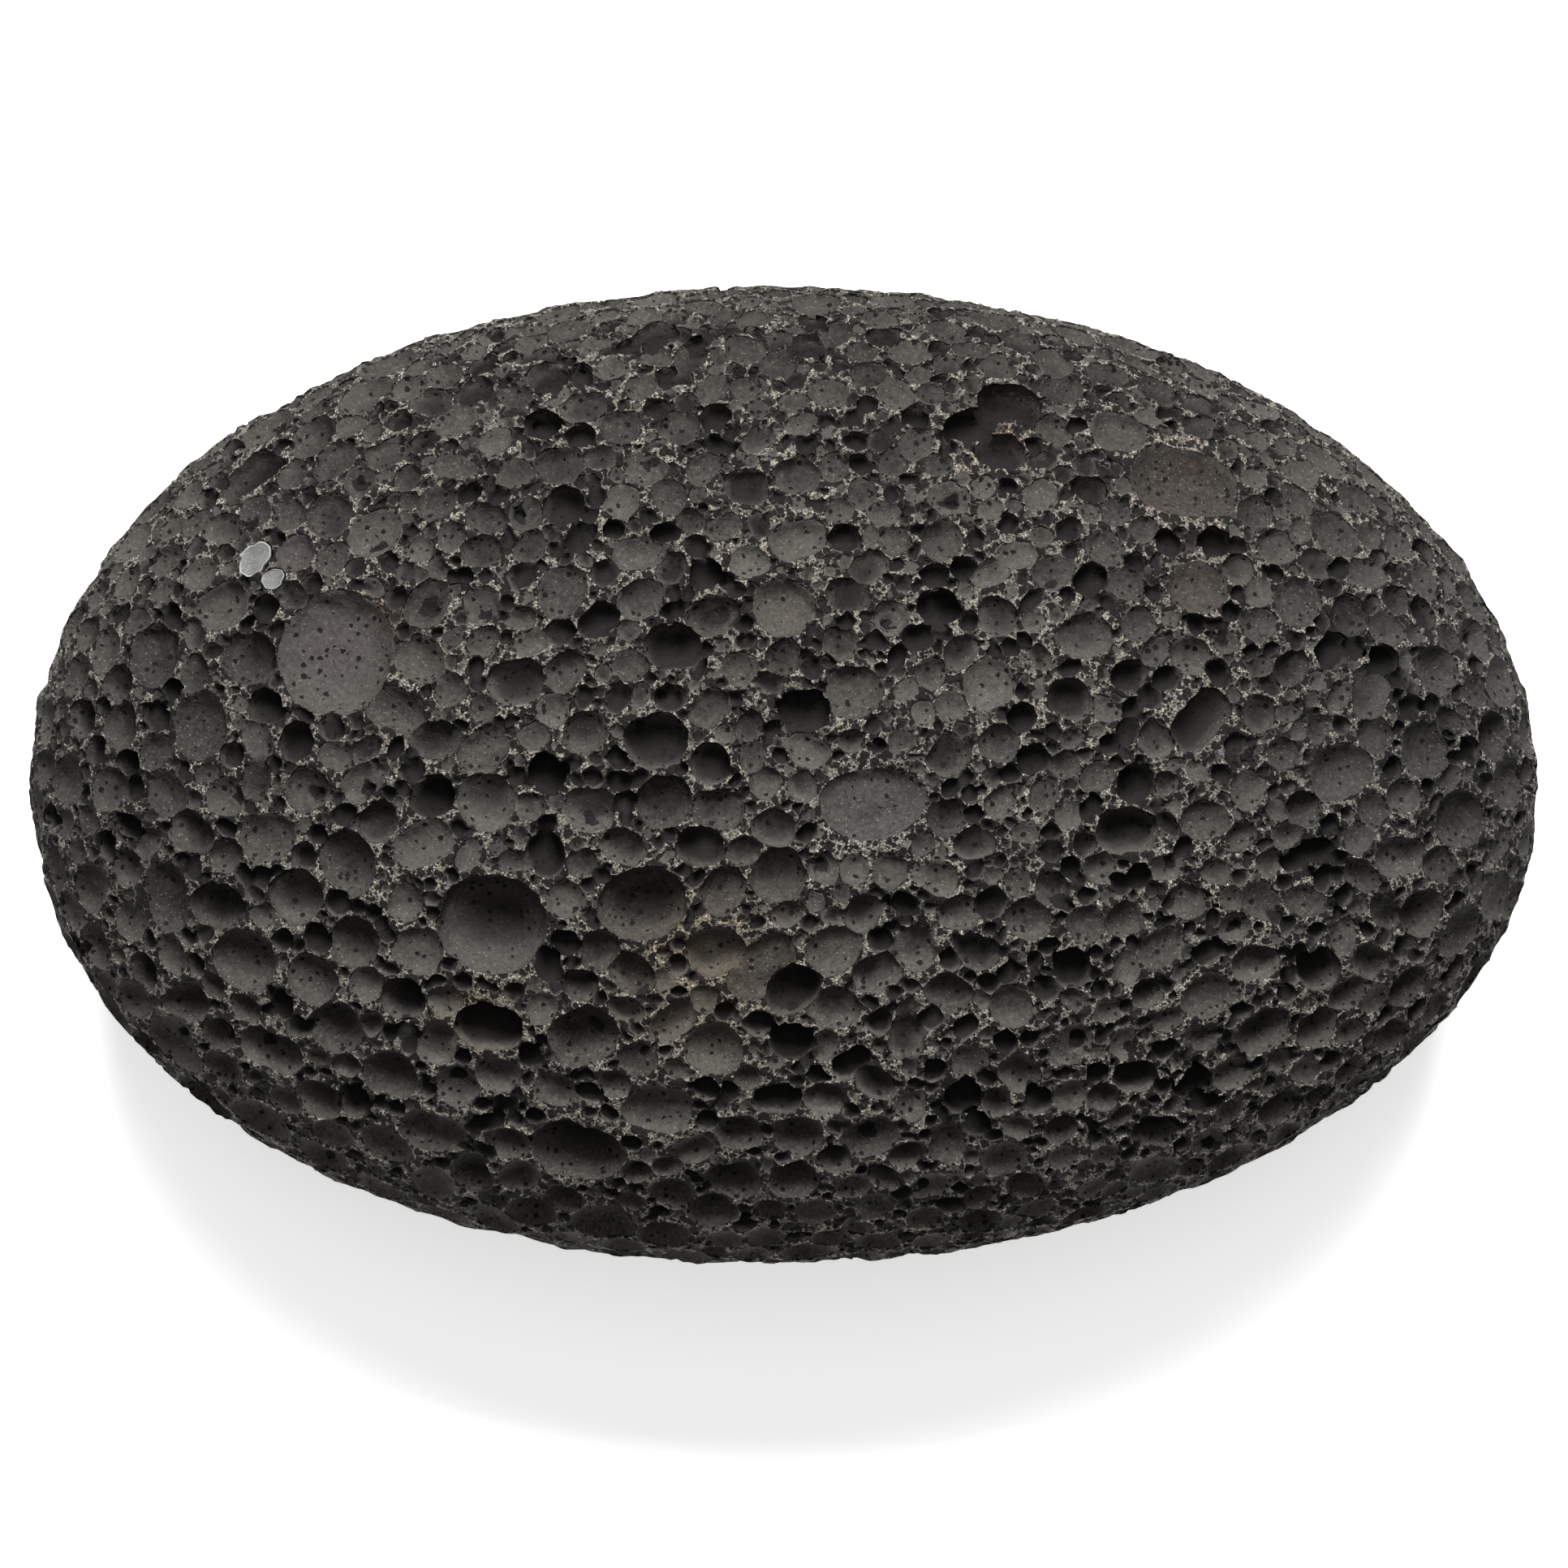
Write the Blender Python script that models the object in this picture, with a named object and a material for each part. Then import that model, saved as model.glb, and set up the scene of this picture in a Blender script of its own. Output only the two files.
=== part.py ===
# An oval massage stone of vesicular basalt, for Blender 4.5.
# Metres, +Z up, +X along the stone's length. The origin is under the stone's middle, on the surface it rests on.
# Run it with: blender --background --python part.py

import math
import random

import bmesh
import bpy
from mathutils import Matrix, Vector

# The tumbled stone's overall size
STONE_LENGTH = 0.100
STONE_WIDTH = 0.065
STONE_HEIGHT = 0.037

# How full the oval is, seen from above and from the side: 2 is a plain ellipse, and more is boxier
OUTLINE_FULLNESS = 2.06
SIDE_FULLNESS = 2.25

# Slow swellings that keep the stone from being a perfect oval, each as degrees round from +X, degrees up,
# how far it reaches in degrees, and its height as a share of the stone's radius
SWELLINGS = (
    (222, -5, 34, 0.016),
    (344, 0, 26, 0.014),
    (120, 25, 40, 0.008),
    (285, 40, 45, 0.007),
    (20, -40, 50, 0.010),
    (165, -50, 40, 0.008),
)

# The foot, ground flat: how much of the dome below the stone is gone
FOOT_DEPTH = 0.0006

# Steps of the skin along each edge of the cube that it is blown up from
SKIN_STEPS = 12

# Each mineral filling is a lens that sits in a socket, a little below the skin
LARGE_FILLING = {"length": 0.0024, "width": 0.0020, "turn": 62, "thickness": 0.0013}
SMALL_FILLING = {"length": 0.0015, "width": 0.0013, "turn": 40, "thickness": 0.0010}
FILLING_RECESS = 0.0001
FILLING_CLEARANCE = 0.0003

# Where the large filling is, and where the small one lies from it: the bearing from +X and the rock between them
LARGE_FILLING_PLACE = (-0.0348, 0.0141)
SMALL_FILLING_BEARING = -48
FILLING_SPACING = 0.0001

# Places on the crown are given as they look from this point, across a view through the stone's heart:
# degrees up from the -Y side, and the distance from the heart
VIEW_CLIMB = 84
VIEW_DISTANCE = 0.290

# The length and width that the places on the crown are given for: on another stone they move with its size
PLACED_ON_LENGTH = 0.100
PLACED_ON_WIDTH = 0.065

# The large bubbles on the crown, in millimetres and degrees:
# x, y, opening along its turn, opening across it, turn from +X, depth
CROWN_BUBBLES = (
    (-29.9, 8.0, 7.7, 8.3, 0, 1.7),
    (-19.5, -10.3, 7.2, 6.2, 0, 2.7),
    (-9.5, -8.8, 5.7, 4.7, 15, 2.4),
    (5.9, -2.1, 6.8, 4.7, 8, 1.1),
    (26.8, 19.0, 7.4, 5.6, 0, 1.6),
    (-13.8, -24.8, 5.9, 5.2, -15, 2.6),
    (-35.4, 19.3, 4.3, 3.2, 35, 2.6),
    (-39.2, 3.0, 4.1, 5.1, 0, 1.3),
    (-42.2, 8.2, 3.9, 4.0, 0, 1.9),
    (-19.9, -2.1, 3.9, 3.6, 0, 1.7),
    (-17.8, 6.1, 3.7, 2.6, 0, 2.0),
    (-7.4, 8.5, 3.6, 2.9, 10, 2.3),
    (0.0, 10.9, 4.3, 3.9, 0, 1.3),
    (1.2, 16.0, 4.0, 2.7, 20, 1.0),
    (-15.0, 20.6, 3.4, 3.0, 0, 1.7),
    (15.1, 24.3, 4.3, 3.6, 0, 2.7),
    (-8.5, 2.1, 4.1, 3.0, 12, 2.4),
    (4.6, 5.3, 3.9, 3.3, 0, 1.0),
    (13.7, 5.8, 3.1, 3.5, 0, 0.9),
    (-8.0, -1.9, 3.6, 3.2, 0, 1.9),
    (-4.4, -12.4, 3.8, 3.0, 25, 1.7),
    (3.4, -15.8, 3.4, 2.9, 30, 1.5),
    (-13.4, -17.8, 4.6, 3.8, 38, 2.4),
    (8.7, -11.7, 3.1, 3.1, 0, 1.6),
    (-8.3, -22.0, 5.0, 3.7, 0, 1.3),
    (-29.0, -6.1, 3.5, 4.1, 0, 1.9),
    (-32.7, -10.9, 3.6, 3.8, 0, 2.2),
    (-36.6, -15.8, 4.4, 3.9, 0, 1.6),
    (-41.5, -8.2, 3.6, 4.7, 0, 1.5),
    (-19.6, -17.2, 4.1, 2.9, -5, 2.7),
    (-27.5, -19.9, 3.9, 3.7, 0, 1.8),
    (-24.3, -4.4, 4.3, 2.9, 28, 1.1),
    (27.5, 12.4, 4.3, 3.6, 0, 1.2),
    (27.8, 3.6, 4.6, 2.7, 48, 2.2),
    (20.1, 9.1, 3.4, 2.8, 15, 1.4),
    (37.1, 0.2, 4.6, 3.9, 8, 1.2),
    (43.0, 6.2, 4.2, 3.7, 0, 1.3),
    (44.6, -2.8, 4.4, 4.0, 0, 1.7),
    (22.9, -3.9, 4.0, 2.9, 6, 2.1),
    (30.4, -15.6, 4.0, 3.3, 30, 1.8),
    (35.9, -11.0, 3.2, 3.0, 0, 2.2),
    (22.0, 21.9, 4.0, 3.4, 10, 1.2),
)

# Further bubbles all round the sides and below, which a seeded throw places
SCATTERED_COUNT = 30
SCATTERED_SEED = 11
SCATTERED_OPENING = (0.0030, 0.0052)
SCATTERED_DEPTH_SHARE = (0.28, 0.60)

# The rock left standing between two thrown bubbles, and between one of them and the foot
RIM_WIDTH = 0.0006
FOOT_MARGIN = 0.0010

# From this opening up, a bubble gets the finer ball
FINE_OPENING = 0.0045


def direction_of(round_degrees, up_degrees):
    around, up = math.radians(round_degrees), math.radians(up_degrees)
    return Vector((math.cos(up) * math.cos(around), math.cos(up) * math.sin(around), math.sin(up)))


class Skin:
    """The tumbled oval that the bubbles and fillings are placed on. Its directions are those on a unit ball."""

    def __init__(self):
        points = [self.unit_point(direction) for direction in self.grid_directions()]
        low = Vector([min(point[axis] for point in points) for axis in range(3)])
        high = Vector([max(point[axis] for point in points) for axis in range(3)])
        across = high - low
        self.stretch = Vector(
            (STONE_LENGTH / across.x, STONE_WIDTH / across.y, (STONE_HEIGHT + FOOT_DEPTH) / across.z)
        )
        self.anchor = Vector(((low.x + high.x) / 2, (low.y + high.y) / 2, low.z))

    @staticmethod
    def grid_directions():
        """The directions of the skin's corners: an even grid on each side of a cube."""
        steps = [math.tan((2 * step / SKIN_STEPS - 1) * math.pi / 4) for step in range(SKIN_STEPS + 1)]
        for axis in range(3):
            for side in (-1.0, 1.0):
                for first in steps:
                    for second in steps:
                        corner = [first, second]
                        corner.insert(axis, side)
                        yield Vector(corner).normalized()

    @staticmethod
    def unit_point(direction):
        """The point on the skin of a stone whose half-length, half-width and half-height are all about 1."""
        outline = abs(direction.x) ** OUTLINE_FULLNESS + abs(direction.y) ** OUTLINE_FULLNESS
        side = abs(direction.z) ** SIDE_FULLNESS
        radius = (outline ** (SIDE_FULLNESS / OUTLINE_FULLNESS) + side) ** (-1 / SIDE_FULLNESS)
        for around, up, reach, height in SWELLINGS:
            away = direction.angle(direction_of(around, up))
            radius *= 1 + height * math.exp(-((away / math.radians(reach)) ** 2))
        return direction * radius

    def point(self, direction):
        place = self.unit_point(direction.normalized()) - self.anchor
        return Vector([place[axis] * self.stretch[axis] for axis in range(3)]) - Vector((0, 0, FOOT_DEPTH))

    def normal(self, direction):
        """The outward normal, from the four neighbours a short step away."""
        direction = direction.normalized()
        first = direction.orthogonal().normalized()
        second = direction.cross(first)
        step = 0.01
        along = self.point(direction + first * step) - self.point(direction - first * step)
        beside = self.point(direction + second * step) - self.point(direction - second * step)
        return along.cross(beside).normalized()

    def direction_to(self, place):
        """The direction that leads to a place, and how far out it is: 1 on the skin, less inside."""
        local = place + Vector((0, 0, FOOT_DEPTH))
        local = Vector([local[axis] / self.stretch[axis] for axis in range(3)]) + self.anchor
        direction = local.normalized()
        return direction, local.length / self.unit_point(direction).length

    def seen_at(self, x, y):
        """The direction to the crown's point that looks to be at (x, y)."""
        climb = math.radians(VIEW_CLIMB)
        heart = Vector((0, 0, STONE_HEIGHT / 2))
        eye = heart + direction_of(-90, VIEW_CLIMB) * VIEW_DISTANCE
        inside = heart + Vector((x, y * math.sin(climb), y * math.cos(climb)))
        outside = inside.lerp(eye, 0.25)
        for _ in range(30):
            halfway = inside.lerp(outside, 0.5)
            if self.direction_to(halfway)[1] < 1:
                inside = halfway
            else:
                outside = halfway
        return self.direction_to(inside)[0]

    def foot_share(self):
        """The foot's size as a share of the stone's outline."""
        drop = 1 - 2 * FOOT_DEPTH / (STONE_HEIGHT + FOOT_DEPTH)
        return (1 - drop**SIDE_FULLNESS) ** (1 / SIDE_FULLNESS)


def new_material(name, colour, roughness):
    material = bpy.data.materials.new(name)
    material.use_nodes = True
    shader = material.node_tree.nodes["Principled BSDF"]
    shader.inputs["Base Color"].default_value = (*colour, 1.0)
    shader.inputs["Roughness"].default_value = roughness
    shader.inputs["Metallic"].default_value = 0.0
    return material


def new_object(name, shape, collection, material=None):
    """An object from a bmesh, which is freed."""
    mesh = bpy.data.meshes.new(name)
    shape.to_mesh(mesh)
    shape.free()
    if material:
        mesh.materials.append(material)
    made = bpy.data.objects.new(name, mesh)
    collection.objects.link(made)
    return made


def placed_on_stone(x, y):
    """A place given for the stone's usual size, moved with the size it has."""
    return x * STONE_LENGTH / PLACED_ON_LENGTH, y * STONE_WIDTH / PLACED_ON_WIDTH


def crown_bubbles(skin):
    """(direction, opening, opening across, turn, depth) of each bubble in the crown's list."""
    for x, y, opening, across, turn, depth in CROWN_BUBBLES:
        direction = skin.seen_at(*placed_on_stone(x * 0.001, y * 0.001))
        yield direction, opening * 0.001, across * 0.001, turn, depth * 0.001


def filling_reach(filling):
    """How far a filling reaches from its middle along the line between the two fillings."""
    off = math.radians(SMALL_FILLING_BEARING - filling["turn"])
    return 1 / math.hypot(2 * math.cos(off) / filling["length"], 2 * math.sin(off) / filling["width"])


def filling_place(filling):
    """Where a filling looks to be: the small one lies beside the large one."""
    x, y = placed_on_stone(*LARGE_FILLING_PLACE)
    if filling is SMALL_FILLING:
        bearing = direction_of(SMALL_FILLING_BEARING, 0)
        away = filling_reach(LARGE_FILLING) + FILLING_SPACING + filling_reach(SMALL_FILLING)
        x, y = x + bearing.x * away, y + bearing.y * away
    return x, y


def filling_lens(skin, filling, growth=0.0):
    """A filling's lens as a bubble of the same kind, grown all round by growth."""
    direction = skin.seen_at(*filling_place(filling))
    opening = filling["length"] + 2 * growth
    across = filling["width"] + 2 * growth
    return direction, opening, across, filling["turn"], filling["thickness"] + growth


def scattered_bubbles(skin, taken):
    """Bubbles thrown all round the stone, clear of the foot and of every (place, reach) in taken."""
    dice = random.Random(SCATTERED_SEED)
    foot_reach = skin.foot_share() * STONE_WIDTH / 2
    placed = []
    for _ in range(SCATTERED_COUNT * 50):
        if len(placed) == SCATTERED_COUNT:
            break
        direction = Vector([dice.gauss(0, 1) for _ in range(3)]).normalized()
        opening = dice.uniform(*SCATTERED_OPENING)
        across = opening * dice.uniform(0.75, 1.0)
        turn = dice.uniform(0, 180)
        depth = opening * dice.uniform(*SCATTERED_DEPTH_SHARE)
        place, reach = skin.point(direction), opening / 2
        outward = math.hypot(place.x * STONE_WIDTH / STONE_LENGTH, place.y)
        on_foot = direction.z < 0 and outward < foot_reach + reach + FOOT_MARGIN
        crowded = any((place - other).length < reach + other_reach + RIM_WIDTH for other, other_reach in taken)
        if on_foot or crowded:
            continue
        taken.append((place, reach))
        placed.append((direction, opening, across, turn, depth))
    return placed


def bubble_frame(skin, direction, opening, across, turn, depth):
    """Takes a unit ball to the bubble that cuts this opening in the skin and is this deep."""
    normal = skin.normal(direction)
    toward = direction_of(turn, 0)
    if abs(normal.dot(toward)) > 0.98:
        toward = Vector((0, 0, 1))
    along = (toward - normal * normal.dot(toward)).normalized()
    beside = normal.cross(along)
    radius = (opening * opening / 4 + depth * depth) / (2 * depth)
    centre = skin.point(direction) + normal * (radius - depth)
    turned = Matrix((along, beside, normal)).transposed().to_4x4()
    return Matrix.Translation(centre) @ turned @ Matrix.Diagonal((radius, radius * across / opening, radius, 1))


def ball(frame, divisions):
    shape = bmesh.new()
    bmesh.ops.create_icosphere(shape, subdivisions=divisions, radius=1.0)
    bmesh.ops.transform(shape, matrix=frame, verts=shape.verts)
    return shape


def cut_flat(shape, place, outward):
    """Cuts off what lies past the plane through place, and closes the cut with one flat face."""
    bmesh.ops.bisect_plane(
        shape,
        geom=shape.verts[:] + shape.edges[:] + shape.faces[:],
        plane_co=place,
        plane_no=outward,
        clear_outer=True,
    )
    bmesh.ops.edgeloop_fill(shape, edges=[edge for edge in shape.edges if edge.is_boundary])
    bmesh.ops.recalc_face_normals(shape, faces=shape.faces)


def stone_body(skin):
    """The oval skin with its foot ground flat."""
    shape = bmesh.new()
    bmesh.ops.create_cube(shape, size=2.0)
    bmesh.ops.subdivide_edges(shape, edges=shape.edges[:], cuts=SKIN_STEPS - 1, use_grid_fill=True)
    for vertex in shape.verts:
        vertex.co = skin.point(Vector([math.tan(side * math.pi / 4) for side in vertex.co]))
    cut_flat(shape, Vector((0, 0, 0)), Vector((0, 0, -1)))
    return shape


def basalt_stone(skin, collection, material):
    """The stone: its body with every bubble, and a socket for each filling, cut out of it."""
    sockets = [filling_lens(skin, filling, FILLING_CLEARANCE) for filling in (LARGE_FILLING, SMALL_FILLING)]
    bubbles = list(crown_bubbles(skin))
    taken = [(skin.point(bubble[0]), max(bubble[1], bubble[2]) / 2) for bubble in bubbles + sockets]
    bubbles += scattered_bubbles(skin, taken)

    cutters = bpy.data.collections.new("bubble_cutters")
    bpy.context.scene.collection.children.link(cutters)
    for number, bubble in enumerate(bubbles + sockets):
        divisions = 3 if bubble in sockets or bubble[1] > FINE_OPENING else 2
        cutter = new_object(f"bubble_cutter_{number}", ball(bubble_frame(skin, *bubble), divisions), cutters)
        cutter.hide_render = True
        cutter.display_type = "WIRE"

    stone = new_object("basalt_stone", stone_body(skin), collection, material)
    carve = stone.modifiers.new("open_bubbles", "BOOLEAN")
    carve.operation = "DIFFERENCE"
    carve.operand_type = "COLLECTION"
    carve.collection = cutters
    carve.solver = "EXACT"


def mineral_filling(name, filling, skin, collection, material):
    """The lens of pale mineral in its socket, with a flat face just below the skin."""
    lens = filling_lens(skin, filling)
    shape = ball(bubble_frame(skin, *lens), 3)
    normal = skin.normal(lens[0])
    cut_flat(shape, skin.point(lens[0]) - normal * FILLING_RECESS, normal)
    new_object(name, shape, collection, material)


def main():
    for old in list(bpy.data.objects):
        bpy.data.objects.remove(old)
    collection = bpy.context.scene.collection
    skin = Skin()
    basalt = new_material("vesicular_basalt", (0.075, 0.070, 0.065), 0.9)
    mineral = new_material("pale_mineral", (0.42, 0.43, 0.41), 0.5)
    basalt_stone(skin, collection, basalt)
    mineral_filling("large_mineral_filling", LARGE_FILLING, skin, collection, mineral)
    mineral_filling("small_mineral_filling", SMALL_FILLING, skin, collection, mineral)


main()
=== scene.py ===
import math
import time

import bmesh
import bpy
import numpy as np
from mathutils import Matrix, Vector
from mathutils.kdtree import KDTree


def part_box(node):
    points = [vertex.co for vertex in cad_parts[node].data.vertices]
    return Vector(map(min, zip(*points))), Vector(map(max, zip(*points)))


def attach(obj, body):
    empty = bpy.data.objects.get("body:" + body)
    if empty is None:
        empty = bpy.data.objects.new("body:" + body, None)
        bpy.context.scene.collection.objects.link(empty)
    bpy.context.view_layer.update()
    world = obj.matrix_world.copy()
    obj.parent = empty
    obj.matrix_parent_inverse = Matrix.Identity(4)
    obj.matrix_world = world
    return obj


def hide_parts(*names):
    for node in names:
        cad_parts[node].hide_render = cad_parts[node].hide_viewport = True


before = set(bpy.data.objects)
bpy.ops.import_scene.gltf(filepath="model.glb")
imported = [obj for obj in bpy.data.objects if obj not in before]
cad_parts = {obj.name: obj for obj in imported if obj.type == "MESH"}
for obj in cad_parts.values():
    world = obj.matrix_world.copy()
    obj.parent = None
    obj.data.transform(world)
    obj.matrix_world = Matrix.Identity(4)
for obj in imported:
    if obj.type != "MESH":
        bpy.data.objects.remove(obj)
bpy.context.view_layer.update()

started = time.time()
mm = 0.001


def report(stage):
    print(f"{stage}, {time.time() - started:.1f} s")


# helpers for node trees and plain meshes

def addNode(tree, kind, inputs=None, **settings):
    node = tree.nodes.new(kind)
    for name, value in settings.items():
        setattr(node, name, value)
    for socket, value in (inputs or {}).items():
        target = node.inputs[socket]
        if isinstance(value, bpy.types.NodeSocket):
            tree.links.new(value, target)
        else:
            target.default_value = value
    return node


def meshObject(name, points, faces=()):
    mesh = bpy.data.meshes.new(name)
    mesh.from_pydata([tuple(point) for point in points], [], [tuple(face) for face in faces])
    made = bpy.data.objects.new(name, mesh)
    bpy.context.scene.collection.objects.link(made)
    return made


def corners(mesh):
    flat = np.empty(len(mesh.vertices) * 3, dtype=np.float32)
    mesh.vertices.foreach_get("co", flat)
    return flat.reshape(-1, 3).astype(float)


def storeFloat(mesh, name, values):
    layer = mesh.attributes.new(name, "FLOAT", "POINT")
    layer.data.foreach_set("value", np.asarray(values, dtype=np.float32))


def storeColour(mesh, name, values):
    layer = mesh.attributes.new(name, "FLOAT_COLOR", "POINT")
    rgba = np.ones((len(values), 4), dtype=np.float32)
    rgba[:, :3] = values
    layer.data.foreach_set("color", rgba.ravel())


def asPlainMesh(obj, name):
    depsgraph = bpy.context.evaluated_depsgraph_get()
    mesh = bpy.data.meshes.new_from_object(obj.evaluated_get(depsgraph))
    mesh.name = name
    obj.modifiers.clear()
    obj.data = mesh
    return obj


# the tumbled oval

oval = {
    "outlineFullness": 2.06,
    "sideFullness": 2.25,
    "footDepth": 0.6 * mm,
    "footRound": 0.25 * mm,   # how round the foot's edge is worn, and how far that reaches
    "footReach": 4 * mm,
    # degrees round from +X, degrees up, reach in degrees, height as a share of the radius
    "swellings": [
        (222, -5, 34, 0.016), (344, 0, 26, 0.014), (120, 25, 40, 0.008),
        (285, 40, 45, 0.007), (20, -40, 50, 0.010), (165, -50, 40, 0.008),
    ],
    "skinSteps": 90,
}


def towards(around, up):
    around, up = math.radians(around), math.radians(up)
    return np.array([math.cos(up) * math.cos(around), math.cos(up) * math.sin(around), math.sin(up)])


def unitSkin(directions):
    # a rounded oval: its outline from above and its side view each have their own fullness
    x, y, z = np.abs(directions).T
    outline = x ** oval["outlineFullness"] + y ** oval["outlineFullness"]
    side = z ** oval["sideFullness"]
    flatness = oval["sideFullness"] / oval["outlineFullness"]
    radius = (outline ** flatness + side) ** (-1 / oval["sideFullness"])
    for around, up, reach, height in oval["swellings"]:
        away = np.arccos(np.clip(directions @ towards(around, up), -1, 1))
        radius = radius * (1 + height * np.exp(-(away / math.radians(reach)) ** 2))
    return directions * radius[:, None]


def cubeGrid(steps):
    # an even grid on each side of a cube, blown up to a ball
    line = np.tan((2 * np.arange(steps + 1) / steps - 1) * math.pi / 4)
    first, second = np.meshgrid(line, line, indexing="ij")
    sides, faces = [], []
    for axis in range(3):
        for sign in (-1.0, 1.0):
            grid = [first.ravel(), second.ravel()]
            grid.insert(axis, np.full(first.size, sign))
            start = len(sides) * first.size
            sides.append(np.stack(grid, axis=1))
            cell = np.arange(steps)[:, None] * (steps + 1) + np.arange(steps)[None, :] + start
            quad = np.stack([cell, cell + steps + 1, cell + steps + 2, cell + 1], axis=-1).reshape(-1, 4)
            turned = (sign > 0) == (axis == 1)
            faces.append(quad[:, ::-1] if turned else quad)
    points = np.concatenate(sides)
    return points / np.linalg.norm(points, axis=1)[:, None], np.concatenate(faces)


lowBox, highBox = (np.array(corner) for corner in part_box("basalt_stone"))
coarseSkin = unitSkin(cubeGrid(24)[0])
anchor = (coarseSkin.min(axis=0) + coarseSkin.max(axis=0)) / 2
anchor[2] = coarseSkin[:, 2].min()
stretch = (highBox - lowBox + np.array([0, 0, oval["footDepth"]])) / np.ptp(coarseSkin, axis=0)
middle = -anchor * stretch - np.array([0, 0, oval["footDepth"]])


def onSkin(directions):
    return unitSkin(directions) * stretch + middle


def skinDirections(points):
    local = (points - middle) / stretch
    return local / np.linalg.norm(local, axis=1)[:, None]


def skinNormals(directions):
    helper = np.where(np.abs(directions[:, 2:]) < 0.9, [[0.0, 0.0, 1.0]], [[1.0, 0.0, 0.0]])
    first = np.cross(directions, helper)
    first /= np.linalg.norm(first, axis=1)[:, None]
    second = np.cross(directions, first)

    def near(offset):
        moved = directions + offset
        return onSkin(moved / np.linalg.norm(moved, axis=1)[:, None])

    step = 0.01
    normals = np.cross(near(first * step) - near(-first * step), near(second * step) - near(-second * step))
    normals /= np.linalg.norm(normals, axis=1)[:, None]
    return normals * np.sign(np.sum(normals * directions, axis=1))[:, None]


viewpoint = {"climb": 84, "distance": 0.290, "lens": 100, "sensor": 36, "lift": -0.0075}
heart = np.array([0.0, 0.0, (lowBox[2] + highBox[2]) / 2])
eye = heart + towards(-90, viewpoint["climb"]) * viewpoint["distance"]


def crownDirections(places):
    # each (x, y) is a place as the viewpoint sees it, measured across the view through the stone's heart
    tilt = math.radians(viewpoint["climb"])
    x, y = np.asarray(places, dtype=float).T
    inside = heart + np.stack([x, y * math.sin(tilt), y * math.cos(tilt)], axis=1)
    outside = inside + (eye - inside) * 0.25
    for _ in range(32):
        halfway = (inside + outside) / 2
        local = (halfway - middle) / stretch
        reach = np.linalg.norm(local, axis=1)
        sunk = reach < np.linalg.norm(unitSkin(local / reach[:, None]), axis=1)
        inside = np.where(sunk[:, None], halfway, inside)
        outside = np.where(sunk[:, None], outside, halfway)
    return skinDirections(inside)


def depthBelowSkin(points):
    directions = skinDirections(points)
    normals = skinNormals(directions)
    return np.sum((onSkin(directions) - points) * normals, axis=1)


# the bubbles, largest first

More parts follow.
